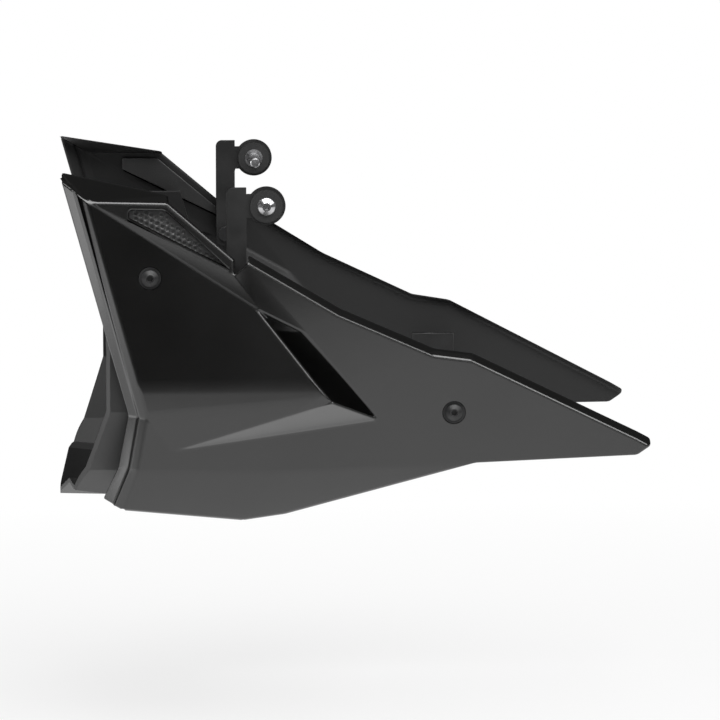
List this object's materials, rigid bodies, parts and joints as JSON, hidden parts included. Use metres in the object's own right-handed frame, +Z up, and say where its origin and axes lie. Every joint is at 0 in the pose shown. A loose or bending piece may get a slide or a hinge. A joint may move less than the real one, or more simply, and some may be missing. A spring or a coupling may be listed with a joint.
{
  "type": "motorcycle lower engine cover",
  "caption": "Faceted matte black belly pan that shields the underside of a motorcycle engine: side panels with mesh vents and open gills, a front scoop, brackets and a rear crossmember.",
  "frame": {"origin": "middle of the rear crossmember's upper face, between its engine bolt holes, on the cover's middle plane", "axes": "+X rearwards along the motorcycle, +Y to the rider's right, +Z up"},
  "size_m": [0.3587, 0.2646, 0.2158],
  "materials": {
    "panel_plastic": "satin black with a fine grain",
    "scoop_plastic": "matte black",
    "mesh_plastic": "matte black",
    "black_steel": "black powder coat",
    "rubber": "matte",
    "zinc_steel": "bright zinc",
    "black_fasteners": "black oxide"
  },
  "bodies": {
    "root": {"left_side_panel": "panel_plastic", "right_side_panel": "panel_plastic", "front_scoop": "scoop_plastic", "left_vent_mesh": "mesh_plastic", "right_vent_mesh": "mesh_plastic", "left_upper_bracket": "black_steel", "right_upper_bracket": "black_steel", "rear_crossmember": "black_steel", "left_bracket_grommet": "rubber", "right_bracket_grommet": "rubber", "front_rubber_pads": "rubber", "rear_rubber_pads": "rubber", "left_bracket_bolt": "zinc_steel", "right_bracket_bolt": "zinc_steel", "left_bracket_sleeve": "zinc_steel", "right_bracket_sleeve": "zinc_steel", "front_flange_nuts": "zinc_steel", "rear_flange_nuts": "zinc_steel", "keel_nuts": "zinc_steel", "bracket_foot_screws": "black_fasteners", "front_panel_screws": "black_fasteners", "front_panel_washers": "black_fasteners", "rear_panel_screws": "black_fasteners", "rear_panel_washers": "black_fasteners", "keel_screws": "black_fasteners"}
  },
  "joints": []
}
